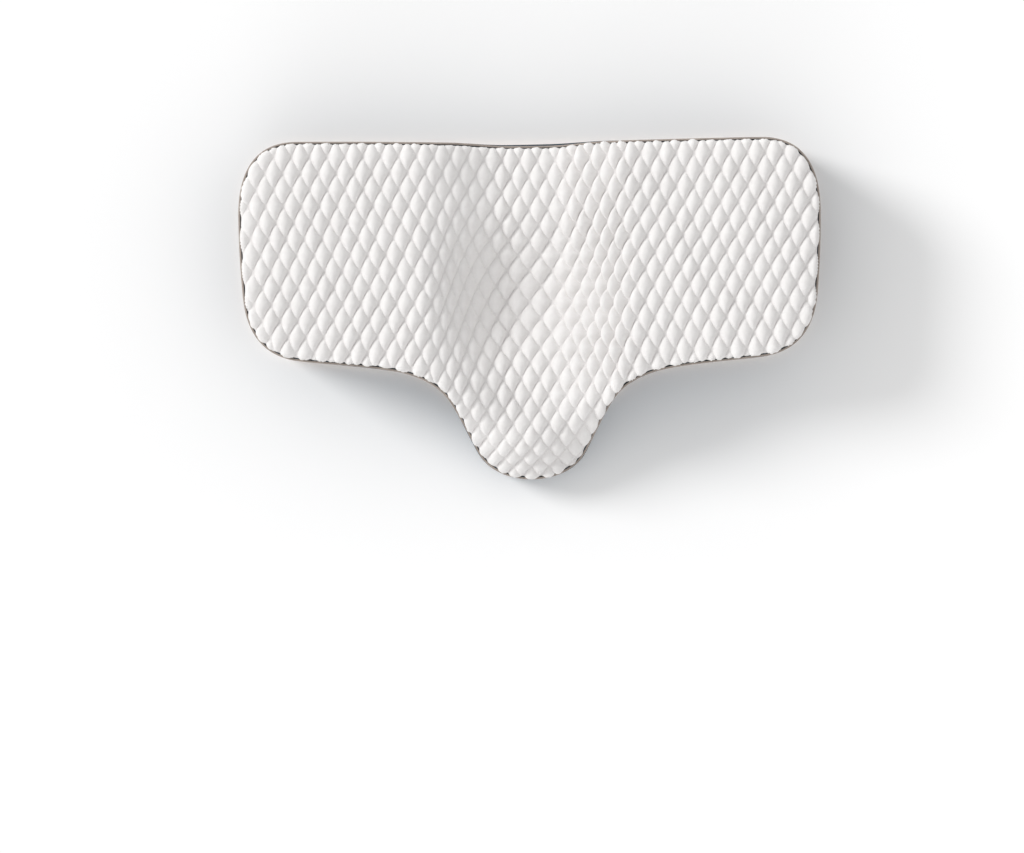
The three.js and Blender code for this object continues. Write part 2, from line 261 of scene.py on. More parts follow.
def fill_height(x, y, depth):
    """The stitch lines' height: seam + (crown - seam) * roll, where the roll is two quarter circles on
    the wings and a sine on the tongue, over the depth inside the outline."""
    crown = mix(middle_crown(y), CROWN, valley(x)) - CREASE_DEPTH
    wing = 0.6 * round_over(depth / EDGE_ROLL) + 0.4 * round_over(depth / WIDE_ROLL)
    tongue = np.sin(np.pi / 2 * np.clip(depth / TONGUE_ROLL, 0, 1)) ** 1.05
    seam = seam_height(x, y)
    return seam + (crown - seam) * mix(tongue, wing, step(y, *TONGUE_TO_WING))


def depth_inside(points, block=8192):
    """Distance inside the outline and the nearest station: measured along that station's inward
    direction, so it is below 0 outside."""
    depth, nearest = np.empty(len(points)), np.empty(len(points), int)
    size = (OUTLINE**2).sum(1)
    for start in range(0, len(points), block):
        part = points[start : start + block]
        near = np.argmin(size - 2 * part @ OUTLINE.T, axis=1)
        depth[start : start + block] = ((part - OUTLINE[near]) * INWARD[near]).sum(1)
        nearest[start : start + block] = near
    return depth, nearest


print(f"bowl {1000 * middle_crown(BOWL_MIDDLE):.0f} mm high, neck roll {1000 * NECK_TOP:.0f} mm")

# %% [markdown]
# ## How the quilted cloth lies
# The diamonds are even in the flat cloth. Over the slopes the cloth is longer than the plan, so the
# puffs look narrower from above, and in the bowl it is stretched, so they look wider. A place in the
# flat cloth is therefore moved to its place in plan by a drift across and a shortening along. On the
# tongue it is gathered as well, so the puffs there are shorter. Draping a flat cloth would find a
# stretch of its own, while two formulas can be matched to the one in the photo.

# %% Cloth along the middle line
DIAMOND_WIDTH, DIAMOND_LENGTH = 19.3 * MM, 35.4 * MM
LATTICE_Y = 27 * MM  # the middle of the diamond that the grid is counted from
MIDDLE_STEP = 0.001
GATHER = 0.18
GATHERED_FROM, GATHERED_TO = 0.08, 0.11  # distance in front of the middle

middle_y = np.arange(-0.20, 0.2001, MIDDLE_STEP)
middle_depth, _ = depth_inside(np.stack([np.zeros_like(middle_y), middle_y], 1))
middle_slope = np.gradient(fill_height(0 * middle_y, middle_y, middle_depth), middle_y)
gathered = 1 + GATHER * step(-middle_y, GATHERED_FROM, GATHERED_TO)
slope_extra = np.cumsum(np.hypot(1, middle_slope) * gathered - 1) * MIDDLE_STEP
slope_extra -= np.interp(LATTICE_Y, middle_y, slope_extra)
print(f"the middle line takes {slope_extra[-1] - slope_extra[0]:.3f} m more cloth than its plan")

# %% Cloth to plan
STRETCH, STRETCH_REACH = 8.5 * MM, 0.1
CROWD_MM, CROWD_BESIDE_BOWL_MM = 4.5, 6
CROWDED_FROM, CROWDED_TO = 0.05, 0.12
STRETCH_MIDDLE, STRETCH_LENGTH = 0.02, 0.125
LAY_PASSES = 16


def lengthening(x, y):
    """Extra cloth from LATTICE_Y to y: the middle line's slope length less its plan length, fading out
    up the valley's slopes but not on the tongue."""
    return np.interp(y, middle_y, slope_extra) * mix(1, 1 - valley(x), step(y, *TONGUE_TO_WING))


def drift(x, y):
    """Sideways drift of the cloth: a sine that stretches it over the bowl, less a smooth step that
    crowds it on the slopes."""
    bowl = np.cos(np.pi / 2 * np.clip((y - STRETCH_MIDDLE) / STRETCH_LENGTH, -1, 1)) ** 2
    stretch = STRETCH * bowl * np.sin(np.pi * np.minimum(np.abs(x) / STRETCH_REACH, 1))
    crowd = (CROWD_MM + CROWD_BESIDE_BOWL_MM * bowl) * MM * step(np.abs(x), CROWDED_FROM, CROWDED_TO)
    return np.sign(x) * (stretch - crowd)


def lay_cloth(across, along):
    """Plan place of a place in the flat cloth, found by repeating x = across + drift(x, y) and
    y = along - lengthening(x, y)."""
    x, y = across.copy(), along.copy()
    for _ in range(LAY_PASSES):
        x, y = across + drift(x, y), along - lengthening(x, y)
    return x, y


# %% [markdown]
# ## The quilted top: its grid
# The real cover is a white knit that puffs up between two sets of slanting stitch lines. The grid runs
# along both directions of the stitch lines, with closer lines beside the stitches, so every crease lies
# on the grid and stays sharp. Grid points just outside the seam are moved onto it. Cutting a finished
# surface with a boolean would leave slivers along the rim.

# %% Quilt grid
PER_PUFF = 13
A_PUFFS, B_PUFFS = (-26, 22), (-22, 26)  # first and last puff along the two directions
STITCH_BOW = (0.075, 0.06)  # of a puff: the stitch lines bow towards the left, a little in each puff


def puff_lines(low, high):
    """Grid lines from one stitch line to the next: half even steps, half a sine that crowds them
    beside the stitches."""
    u = np.linspace(-1, 1, PER_PUFF + 1)[:-1]
    within = 0.25 * u + 0.25 * np.sin(np.pi / 2 * u)
    return np.concatenate([whole + within for whole in range(low, high + 1)] + [[high + 0.5]])


a, b = np.meshgrid(puff_lines(*A_PUFFS), puff_lines(*B_PUFFS), indexing="ij")
bowed_a = a - STITCH_BOW[0] * np.cos(np.pi * (b - np.rint(b)))
bowed_b = b - STITCH_BOW[1] * np.cos(np.pi * (a - np.rint(a)))
across = DIAMOND_WIDTH * (bowed_a + bowed_b) / 2
along = LATTICE_Y + DIAMOND_LENGTH * (bowed_a - bowed_b) / 2
plan_x, plan_y = lay_cloth(across, along)
print(f"quilt grid: {a.shape[0]} by {a.shape[1]} lines")

# %% Points inside the seam
BORDER_THICK = 3 * MM
GAP = 0.3 * MM  # between one sewn piece and the next
RIM_DEPTH = BORDER_THICK + GAP
SNAP = 0.35 * MM
BOX_MARGIN = 0.01

near_box = np.abs(plan_x) < HALF_WIDTH + BOX_MARGIN
near_box &= np.abs(plan_y) < HALF_DEPTH + BOX_MARGIN
depth = np.full(a.shape, -1.0)
station = np.zeros(a.shape, int)
depth[near_box], station[near_box] = depth_inside(np.stack([plan_x, plan_y], -1)[near_box])
rim = RIM_DEPTH + draw_in(plan_x, plan_y)
inside = depth > rim + SNAP
print(f"{inside.sum()} points inside the seam")


# %% Cells and the rim
def cells_with(mask):
    """True for each cell of the grid with at least one corner in mask."""
    return mask[:-1, :-1] | mask[1:, :-1] | mask[1:, 1:] | mask[:-1, 1:]


def corners_of(cells):
    """True for each grid point of a chosen cell."""
    mask = np.zeros((cells.shape[0] + 1, cells.shape[1] + 1), bool)
    for i, j in ((0, 0), (1, 0), (1, 1), (0, 1)):
        mask[i : i + cells.shape[0], j : j + cells.shape[1]] |= cells
    return mask


cells = cells_with(inside)
used = corners_of(cells)
snapped = used & ~inside
push = np.where(snapped, rim - depth, 0)
plan_x += push * INWARD[station, 0]
plan_y += push * INWARD[station, 1]
depth = np.where(snapped, rim, depth)
print(f"{snapped.sum()} points moved onto the seam")

# %% [markdown]
# ## The quilted top: its puffs
# A puff is highest in its middle and sinks to the stitch lines. The lines that rise to the right are
# deep, and the short seams across them are shallow, so each row looks like a string of beads. A cloth
# simulation would have to find again what the stitches have fixed, so the height is a formula: one
# minus a power of the distance from the middle, in each direction. It is raised along the filling's own
# normal, and at the edge the cloth rolls out over the piping.

# %% Puff helpers
TABLE_HALF = 30
rng = np.random.default_rng(7)


def puff_noise(strength):
    """One number near 1 for each puff, the same all over it."""
    table = rng.normal(1, strength, (2 * TABLE_HALF, 2 * TABLE_HALF))
    return table[np.rint(a).astype(int) + TABLE_HALF, np.rint(b).astype(int) + TABLE_HALF]


def soft_waves(x, y, length, seed):
    """Smooth lumps: three sines along turned directions, added up."""
    turns = np.random.default_rng(seed).uniform(0, 2 * np.pi, (3, 2))
    return sum(np.sin(2 * np.pi / length * (x * np.cos(t) + y * np.sin(t)) + p) for t, p in turns) / 3


def puff_arch(u_a, u_b, kept):
    """Height of a puff from 0 to 1: 1 - u_b^2.5 between its deep stitch lines, and 1 - u_a^3 along its
    row, where it only falls to kept. u_b grows a little with u_a, so the ends are narrower."""
    between_lines = 1 - np.minimum(u_b * (1 + 0.2 * u_a**2), 1) ** 2.5
    return mix(kept, 1, 1 - u_a**3) * between_lines


# %% Stitch lines' height
TUCK = 1.6 * MM  # how far the cloth's edge goes down beside the piping
TUCK_REACH = 2.5 * MM
FILLING_WAVE, WAVE_LENGTH, WAVE_FADE = 0.9 * MM, 0.085, 0.04

from_rim = np.clip(depth - rim, 0, None)
height = fill_height(plan_x, plan_y, from_rim)
height += FILLING_WAVE * soft_waves(plan_x, plan_y, WAVE_LENGTH, 3) * step(from_rim, 0, WAVE_FADE)
height -= TUCK * (1 - step(from_rim, 0, TUCK_REACH))
surface = np.stack([plan_x, plan_y, height], -1)
normal = np.cross(np.gradient(surface, axis=1), np.gradient(surface, axis=0))
normal /= np.maximum(np.linalg.norm(normal, axis=-1, keepdims=True), 1e-12)
print(f"stitch lines: up to {height[inside].max():.4f} m high")

# %% Puffs
PUFF_SPREAD = 0.08  # how much the puffs differ from each other
KEPT_IN_VALLEY, KEPT_ON_WINGS = 0.22, 0.3  # share of a puff's height at its short seams
WINGS_Y = (-0.11, -0.06)

on_wings = valley(plan_x) * step(plan_y, *WINGS_Y)
u_a, u_b = (np.abs(2 * (line - np.rint(line))) for line in (a, b))
loft = puff_arch(u_a, u_b, mix(KEPT_IN_VALLEY, KEPT_ON_WINGS, on_wings)) * puff_noise(PUFF_SPREAD)
print(f"puffs: {loft[inside].mean():.2f} of their full height on average")

# %% Puffs on the slopes and the tongue
# The right slope's puffs are crowded up, the left slope's are pulled flat, and the tongue's are lower
RIGHT_SLOPE, LEFT_SLOPE, TONGUE_LOSS = 0.75, -0.5, 0.15
SLOPE_Y, SLOPE_FOOT, SLOPE_TOP = (-0.12, -0.03), (0.025, 0.06), (-0.128, -0.094)
TONGUE_Y = (-0.12, -0.08)

on_slope = step(plan_y, *SLOPE_Y) * step(np.abs(plan_x), *SLOPE_FOOT)
on_slope *= step(-np.abs(plan_x), *SLOPE_TOP)
on_tongue = 1 - step(plan_y, *TONGUE_Y)
crowded = 1 + on_slope * np.where(plan_x > 0, RIGHT_SLOPE, LEFT_SLOPE) - TONGUE_LOSS * on_tongue
print(f"puffs' height is changed by {crowded.min():.2f} to {crowded.max():.2f} times")

# %% Puffs at the rim
PUFF_FULL = 5.8 * MM
RIM_STEEP, RIM_REACH = 1.6 * MM, 5 * MM
RIM_ON_TONGUE, RIM_ON_WINGS = 0.95, 0.5  # share of the puffs' height that is left at the rim
RIM_ROLL = 1.3 * MM  # how far the cloth rolls out over the piping between puffs
ROLL_BACK = (2 * MM, 8 * MM)

at_rim = mix(RIM_ON_TONGUE, RIM_ON_WINGS, step(plan_y, *TONGUE_TO_WING))
at_rim *= step(from_rim, 0, RIM_STEEP)
rise = PUFF_FULL * loft * crowded * mix(at_rim, 1, step(from_rim, 0, RIM_REACH))
rise += RIM_ROLL * step(from_rim, 0, RIM_STEEP) * (1 - step(from_rim, *ROLL_BACK))
surface += normal * rise[..., None]
print(f"puffs: highest point {surface[inside][:, 2].max():.4f} m")

# %% [markdown]
# ## Meshes from arrays
# Each helper takes whole arrays: points, faces, a UV place in metres and named values for each point.
# That is much quicker than operators or a loop over points. The objects stay at the origin, with their
# place in their mesh.


# %% Mesh helpers
def make_piece(name, points, faces, uv=None, **values):
    """An object with smooth faces, a UV map and one number for each point and each name in values."""
    mesh = bpy.data.meshes.new(name)
    mesh.from_pydata(points.tolist(), [], [list(face) for face in faces])
    mesh.polygons.foreach_set("use_smooth", np.ones(len(mesh.polygons), bool))
    if uv is not None:
        order = np.empty(len(mesh.loops), int)
        mesh.loops.foreach_get("vertex_index", order)
        mesh.uv_layers.new(name="cloth").data.foreach_set("uv", uv[order].astype(np.float32).ravel())
    for key, numbers in values.items():
        mesh.attributes.new(key, "FLOAT", "POINT").data.foreach_set("value", numbers.astype(np.float32))
    piece = bpy.data.objects.new(name, mesh)
    bpy.context.scene.collection.objects.link(piece)
    return piece


def close_holes(piece):
    """Closes each open loop of the piece with one flat face, and turns all faces outwards."""
    form = bmesh.new()
    form.from_mesh(piece.data)
    bmesh.ops.holes_fill(form, edges=[edge for edge in form.edges if edge.is_boundary], sides=0)
    bmesh.ops.recalc_face_normals(form, faces=form.faces)
    form.to_mesh(piece.data)
    form.free()


def sharpen(piece, lines):
    """Marks the edges along creases as sharp: lines has one number for each point and direction, equal
    along a crease and nan between creases."""
    ends = np.empty(2 * len(piece.data.edges), int)
    piece.data.edges.foreach_get("vertices", ends)
    first, second = lines[ends[0::2]], lines[ends[1::2]]
    sharp = (first == second).any(1)
    piece.data.attributes.new("sharp_edge", "BOOLEAN", "EDGE").data.foreach_set("value", sharp)


def open_edges(quads, count):
    """The directed edges that only one quad has."""
    edges = np.concatenate([quads[:, [k, (k + 1) % 4]] for k in range(4)])
    key = edges.min(1) * count + edges.max(1)
    _, first, times = np.unique(key, return_index=True, return_counts=True)
    return edges[first[times == 1]]


# %% [markdown]
# ## The quilted top: one closed piece
# The cover is sewn to the border all round, and the filling is under it. A hidden wall goes down inside
# the border, and a hidden floor turns in above the base, so the piece is closed like the filled pillow.
# An open sheet would look the same from above, but it has no inside and no volume.

# %% Top, wall and hidden floor
WALL_LOW, FLOOR_LOW, FLOOR_INSET = LOW_SEAM_WING + 0.5 * MM, 3.2 * MM, 18 * MM

number = np.full(a.shape, -1)
number[used] = np.arange(used.sum())
i, j = np.nonzero(cells)
top_quads = np.stack([number[i, j], number[i, j + 1], number[i + 1, j + 1], number[i + 1, j]], 1)
top_points = surface[used]
rim_edges = open_edges(top_quads, len(top_points))
rim_points, ring_edges = np.unique(rim_edges, return_inverse=True)

wall_ring = top_points[rim_points].copy()
wall_ring[:, 2] = WALL_LOW
floor_ring = wall_ring.copy()
floor_ring[:, :2] += FLOOR_INSET * INWARD[station[used][rim_points]]
floor_ring[:, 2] = FLOOR_LOW
wall_edges = len(top_points) + ring_edges.reshape(-1, 2)
floor_edges = len(rim_points) + wall_edges
print(f"rim: {len(rim_points)} points")


# %% Quilted top
def quads_between(upper, lower):
    """Quads between two rows of edges, each given by its two ends."""
    return np.stack([upper[:, 1], upper[:, 0], lower[:, 0], lower[:, 1]], 1)


def stitch_number(line):
    """The number of the stitch line that a grid point lies on, or nan between two stitch lines."""
    return np.where(np.isclose((line + 0.5) % 1, 0), np.rint(line + 0.5), np.nan)[used]


cloth_uv = np.stack([across[used], along[used]], 1)
hidden_uv = cloth_uv[rim_points]
hidden_count = 2 * len(rim_points)
quilt = make_piece(
    "quilt_cover",
    np.vstack([top_points, wall_ring, floor_ring]),
    np.vstack([top_quads, quads_between(rim_edges, wall_edges), quads_between(wall_edges, floor_edges)]),
    np.vstack([cloth_uv, hidden_uv, hidden_uv]),
    loft=np.concatenate([loft[used], np.zeros(hidden_count)]),
    from_rim=np.concatenate([from_rim[used], np.zeros(hidden_count)]),
)
close_holes(quilt)
stitch_lines = np.stack([stitch_number(line) for line in (a, b)], 1)
sharpen(quilt, np.vstack([stitch_lines, np.full((hidden_count, 2), np.nan)]))
print(f"quilted top: {len(quilt.data.polygons)} faces")

# %% [markdown]
# ## Side strips
# The mesh border and the plain band are strips of cloth, 3 mm thick, that stand between the two seams.
# A closed section is carried along the outline. It swells a little between the seams, and where the
# two strips meet, their ends turn in to an upright seam. A flat strip with a Solidify modifier would be
# even in thickness, but here only the outer face swells, and the inner one stays on the filling.


# %% Sections carried along a path
def swept(name, sections, uv, closed_path, **values):
    """A tube with a closed section, from an array of path steps by section points. An open path gets an
    end face at each end."""
    steps, around = sections.shape[:2]
    grid = np.arange(steps * around).reshape(steps, around)
    ahead = np.roll(grid, -1, 0) if closed_path else grid[1:]
    here = grid if closed_path else grid[:-1]
    quads = np.stack([here, ahead, np.roll(ahead, -1, 1), np.roll(here, -1, 1)], -1).reshape(-1, 4)
    faces = [list(quad) for quad in quads]
    if not closed_path:
        faces += [list(grid[0]), list(grid[-1][::-1])]
    flat_values = {key: value.ravel() for key, value in values.items()}
    piece = make_piece(name, sections.reshape(-1, 3), faces, uv.reshape(-1, 2), **flat_values)
    close_holes(piece)
    return piece


def on_outline(run):
    """Place and inward direction of the outline at a run along it, mixed from the two stations beside
    it."""
    at = run / PERIMETER * STATIONS % STATIONS
    before = np.floor(at).astype(int)
    after, share = (before + 1) % STATIONS, (at - before)[..., None]
    place, inward = (mix(table[before % STATIONS], table[after], share) for table in (OUTLINE, INWARD))
    return place, inward / np.linalg.norm(inward, axis=-1, keepdims=True)


def out_and_back(rows):
    """Rows up the outer face of a strip, then down its inner face: one value for each section point."""
    return np.concatenate([rows, rows[:, ::-1]], 1)


# %% Strip between the seams
PIPING_RADIUS = 1.2 * MM
SECTION_ROWS = 30
STRIP_STEP = 1.4 * MM
END_ROUND = 7 * MM
EDGE_TURN_IN, END_TURN_IN = 1.2 * MM, 2.2 * MM


def side_strip(name, start, end, bow, swell, waves):
    """A strip from one run to another, in equal steps. Its end seams are bowed by bow * (2v - 1)^2, where
    v runs up the strip. The outer face swells by sin(pi v), with waves, and turns in at its edges."""
    v = np.linspace(0, 1, SECTION_ROWS)
    shift = bow * (2 * v - 1) ** 2
    steps = int((end - start) / STRIP_STEP)
    run = mix(start + shift, end - shift, np.linspace(0, 1, steps)[:, None])
    from_end = np.minimum(run - start - shift, end - shift - run)
    place, inward = on_outline(run)
    x, y = place[..., 0], place[..., 1]
    height = mix(low_seam_height(y), seam_height(x, y) - PIPING_RADIUS - GAP, v)
    fade = round_over(from_end / END_ROUND)
    pull = draw_in(x, y) * v
    turn_in = EDGE_TURN_IN * np.abs(2 * v - 1) ** 9 + END_TURN_IN * (1 - fade)
    belly = (swell + waves(run, height)) * np.sin(np.pi * v) ** 0.8 * fade
    outer, inner = pull + turn_in - belly, pull + BORDER_THICK
    depth_rows = np.concatenate([outer, inner[:, ::-1]], 1)
    spot = out_and_back(place) + out_and_back(inward) * depth_rows[..., None]
    sections = np.concatenate([spot, out_and_back(height)[..., None]], -1)
    uv = np.stack([out_and_back(run), out_and_back(height)], -1)
    return swept(name, sections, uv, False, from_end=out_and_back(from_end)), run


# %% Mesh border and back band
BORDER_END_X = 0.298
FRONT_CORNER_Y = (-0.05, 0.02)
SEAM_BOW = 4.5 * MM
BORDER_SWELL, BAND_SWELL = 0.4 * MM, 0.8 * MM


def run_at(x, side):
    """The run of the outline's front corner at x, on the side -1 or 1: its station nearest to x."""
    low, high = FRONT_CORNER_Y
    spots = (np.sign(OUTLINE[:, 0]) == side) & (OUTLINE[:, 1] < high) & (OUTLINE[:, 1] > low)
    return ALONG[spots][np.argmin(np.abs(np.abs(OUTLINE[spots, 0]) - x))]


def border_waves(run, height):
    """Slow waves in the mesh border, up to half a millimetre."""
    return 0.5 * MM * soft_waves(run, 1.5 * height, 0.13, 5)


def band_waves(run, height):
    """Slow waves in the back band, up to 0.7 mm."""
    return 0.7 * MM * soft_waves(run, 0.8 * height, 0.16, 9)


left_end, right_end = run_at(BORDER_END_X, -1), run_at(BORDER_END_X, 1)
band_ends = right_end + GAP, left_end + PERIMETER - GAP
border, border_run = side_strip("border_mesh", left_end, right_end, SEAM_BOW, BORDER_SWELL, border_waves)
band, band_run = side_strip("end_and_back_band", *band_ends, -SEAM_BOW, BAND_SWELL, band_waves)
print(f"border {len(border_run)} steps, band {len(band_run)} steps")

# %% [markdown]
# ## Piping and base
# The piping is a round cord carried along the top seam. The base is one thin cloth: flat on the floor,
# and rolled up to the lower seam all round. Both are closed sections carried round the whole outline.
# A curve with a bevel would give the cord too, but its UV map wouldn't be in metres.

# %% Piping
PIPING_SIDES = 12
PIPING_FIT = 0.92  # the cord is a little thinner than its place in the seam

seam_depth = PIPING_RADIUS + draw_in(*OUTLINE.T)
seam_line = np.column_stack([OUTLINE + INWARD * seam_depth[:, None], seam_height(*OUTLINE.T)])
angle = np.linspace(0, 2 * np.pi, PIPING_SIDES, endpoint=False)
sideways = np.column_stack([INWARD, np.zeros(STATIONS)])[:, None] * -np.cos(angle)[:, None]
upwards = np.array((0, 0, 1)) * np.sin(angle)[:, None]
piping_sections = seam_line[:, None] + PIPING_FIT * PIPING_RADIUS * (sideways + upwards)
piping_uv = np.stack(np.broadcast_arrays(ALONG[:, None], angle * PIPING_RADIUS), -1)
piping = swept("piping_cord", piping_sections, piping_uv, True)
print(f"piping {len(piping.data.polygons)} faces")

# %% Base
BASE_THICK, BASE_ROLL = 2.6 * MM, 18 * MM
BASE_RIM_ON_WINGS, LEAST_LIFT = 0.6 * MM, 0.1 * MM
BASE_ROWS = 9
tucked = step(low_seam_height(OUTLINE[:, 1]), LOW_SEAM_TIP, LOW_SEAM_WING)
base_rim = mix(RIM_DEPTH, BASE_RIM_ON_WINGS, tucked)


def base_rings(lift, cut, shares):
    """Rings from the flat part out to the rim: they move out evenly with the shares, and the height is a
    quarter circle up to the lower seam."""
    edge = np.maximum(low_seam_height(OUTLINE[:, 1]) - GAP, lift + LEAST_LIFT)[:, None]
    inset = mix(BASE_ROLL + cut, base_rim[:, None] + cut, shares)
    spot = OUTLINE[:, None] + INWARD[:, None] * inset[..., None]
    return np.concatenate([spot, (lift + (edge - lift) * (1 - round_over(1 - shares)))[..., None]], -1)


roll = np.sin(np.pi / 2 * np.linspace(0, 1, BASE_ROWS))
outer_rings = base_rings(0, 0, roll)
inner_rings = base_rings(BASE_THICK, BASE_THICK, roll)[:, ::-1]
base_profile = np.concatenate([outer_rings, inner_rings], 1)
base_grid = np.arange(base_profile.shape[0] * base_profile.shape[1]).reshape(base_profile.shape[:2])
base_ahead = np.roll(base_grid, -1, 0)
base_quads = np.stack([base_grid[:, :-1], base_ahead[:, :-1], base_ahead[:, 1:], base_grid[:, 1:]], -1)
base = make_piece("base_cloth", base_profile.reshape(-1, 3), base_quads.reshape(-1, 4))
close_holes(base)
print(f"base {len(base.data.polygons)} faces")

# %% [markdown]
# ## Effects that the cloths share
# All five are cloth, so they share three effects, each a node group: fine fibres, knitted ribs and a
# plain weave. A group is built once and placed in each material with its own sizes, so that the same
# knit can be coarse on the top and fine on the base.


# %% Node helpers
def add(tree, kind, links=None, values=None, **settings):
    """One node: settings are its own, values fill its sockets, links join other nodes' outputs to it."""
    node = tree.nodes.new(kind)
    for key, value in settings.items():
        setattr(node, key, value)
    for key, value in (values or {}).items():
        node.inputs[key].default_value = value
    for key, output in (links or {}).items():
        tree.links.new(output, node.inputs[key])
    return node


def math(tree, operation, first, second=None):
    """The result of one sum on values or outputs."""
    node = add(tree, "ShaderNodeMath", operation=operation)
    for socket, value in zip(node.inputs, (first, second)):
        if isinstance(value, bpy.types.NodeSocket):
            tree.links.new(value, socket)
        elif value is not None:
            socket.default_value = value
    return node.outputs[0]


def group(name, inputs, outputs):
    """An empty node group with named sockets: its tree, its input node and its output node."""
    tree = bpy.data.node_groups.new(name, "ShaderNodeTree")
    for label, kind, value in inputs:
        socket = tree.interface.new_socket(label, in_out="INPUT", socket_type=kind)
        if value is not None:
            socket.default_value = value
    for label in outputs:
        tree.interface.new_socket(label, in_out="OUTPUT", socket_type="NodeSocketFloat")
    return tree, tree.nodes.new("NodeGroupInput"), tree.nodes.new("NodeGroupOutput")


def ramp(tree, value, low, high):
    """value mapped to 0 at low and 1 at high, clamped."""
    node = add(tree, "ShaderNodeMapRange", {"Value": value}, {"From Min": low, "From Max": high})
    return node.outputs[0]


# %% Fibre group
def fibre_group():
    """Fibres: fine noise for the height, and a slower noise for small changes of tone."""
    sockets = [("Vector", "NodeSocketVector", None), ("Fibre size", "NodeSocketFloat", 0.6 * MM)]
    tree, given, result = group("fibres", sockets, ["Height", "Tone"])
    vector = given.outputs["Vector"]
    density = math(tree, "DIVIDE", 1.0, given.outputs["Fibre size"])
    slow_density = math(tree, "MULTIPLY", density, 0.06)
    noise = {"Detail": 3.0, "Roughness": 0.6}
    for name, scale in (("Height", density), ("Tone", slow_density)):
        layer = add(tree, "ShaderNodeTexNoise", {"Vector": vector, "Scale": scale}, noise)
        tree.links.new(layer.outputs[0], result.inputs[name])
    return tree


# %% Knit group
def wave_height(tree, position, pitch, shift=0.0):
    """A rounded ridge for each pitch along position: |cos(pi * position / pitch + shift)|."""
    turns = math(tree, "DIVIDE", position, pitch)
    angle = math(tree, "ADD", math(tree, "MULTIPLY", turns, np.pi), shift)
    return math(tree, "ABSOLUTE", math(tree, "COSINE", angle))


def knit_group():
    """Knitted loops: ridges across the cloth, one for each course, with finer wales along it."""
    sockets = [("Vector", "NodeSocketVector", None), ("Course", "NodeSocketFloat", 1.3 * MM)]
    tree, given, result = group("knitted ribs", sockets, ["Height"])
    wobble = add(tree, "ShaderNodeTexNoise", {"Vector": given.outputs["Vector"]}, {"Scale": 260.0})
    parts = add(tree, "ShaderNodeSeparateXYZ", {"Vector": given.outputs["Vector"]})
    bent = math(tree, "ADD", parts.outputs["Y"], math(tree, "MULTIPLY", wobble.outputs[0], 0.6 * MM))
    courses = wave_height(tree, bent, given.outputs["Course"])
    wales = wave_height(tree, parts.outputs["X"], math(tree, "MULTIPLY", given.outputs["Course"], 0.8))
    mixed = math(tree, "ADD", math(tree, "MULTIPLY", courses, 0.7), math(tree, "MULTIPLY", wales, 0.3))
    tree.links.new(mixed, result.inputs["Height"])
    return tree


# %% Weave group
def weave_group():
    """Plain weave: threads across and along that pass over each other in turn, like the squares of a
    chessboard, by the sign of sin(pi x / thread) * sin(pi y / thread)."""
    sockets = [("Vector", "NodeSocketVector", None), ("Thread", "NodeSocketFloat", 0.6 * MM)]
    tree, given, result = group("plain weave", sockets, ["Height"])
    parts = add(tree, "ShaderNodeSeparateXYZ", {"Vector": given.outputs["Vector"]})
    thread = given.outputs["Thread"]
    warp = wave_height(tree, parts.outputs["X"], thread)
    weft = wave_height(tree, parts.outputs["Y"], thread)
    turns = [math(tree, "DIVIDE", parts.outputs[axis], thread) for axis in ("X", "Y")]
    over = [math(tree, "SINE", math(tree, "MULTIPLY", turn, np.pi)) for turn in turns]
    warp_up = math(tree, "GREATER_THAN", math(tree, "MULTIPLY", over[0], over[1]), 0.0)
    weft_up = math(tree, "SUBTRACT", 1.0, warp_up)
    shown = [math(tree, "MULTIPLY", warp, warp_up), math(tree, "MULTIPLY", weft, weft_up)]
    tree.links.new(math(tree, "ADD", *shown), result.inputs["Height"])
    return tree


# %% [markdown]
# ## The holes of the mesh
# The navy border is a spacer mesh, knitted with small holes in a honeycomb. They are under 2 mm wide and
# about 7,000 in number, too many to cut into the strip, so they are a pattern on its UV map: painted
# shade where there is a hole, and a bump for the ridges between.

# %% Honeycomb group
HOLE_PITCH = 3.25 * MM
HOLE_RADIUS = 0.95 * MM


def vector_math(tree, operation, vector, second=(0, 0, 0)):
    """A node for one sum on a vector, with a fixed second vector."""
    return add(tree, "ShaderNodeVectorMath", {0: vector}, {1: second}, operation=operation)


def lattice_distance(tree, vector, cell, offset):
    """Distance to the nearest point of a lattice of rectangles, moved by offset of a cell."""
    scaled = vector_math(tree, "MULTIPLY", vector, (1 / cell[0], 1 / cell[1], 0))
    moved = vector_math(tree, "ADD", scaled.outputs[0], (offset, offset, 0))
    part = vector_math(tree, "FRACTION", moved.outputs[0])
    middle = vector_math(tree, "SUBTRACT", part.outputs[0], (0.5, 0.5, 0))
    real = vector_math(tree, "MULTIPLY", middle.outputs[0], (cell[0], cell[1], 0))
    return vector_math(tree, "LENGTH", real.outputs[0]).outputs["Value"]


def honeycomb_group():
    """Holes of the spacer mesh: two lattices of rectangles, half a cell apart, make one honeycomb. Hole
    is 1 in a hole, and Height is the ridge between holes."""
    sockets = [("Vector", "NodeSocketVector", None)]
    tree, given, result = group("mesh holes", sockets, ["Hole", "Height"])
    cell = (HOLE_PITCH * np.sqrt(3), HOLE_PITCH)
    both = [lattice_distance(tree, given.outputs["Vector"], cell, offset) for offset in (0.0, 0.5)]
    nearest = math(tree, "MINIMUM", both[0], both[1])
    hole = math(tree, "SUBTRACT", 1.0, ramp(tree, nearest, 0.75 * HOLE_RADIUS, 1.25 * HOLE_RADIUS))
    tree.links.new(hole, result.inputs["Hole"])
    tree.links.new(ramp(tree, nearest, 0.4 * HOLE_RADIUS, HOLE_PITCH / 2), result.inputs["Height"])
    return tree


FIBRES, KNIT, WEAVE, HOLES = fibre_group(), knit_group(), weave_group(), honeycomb_group()
print(f"{len(bpy.data.node_groups)} node groups")
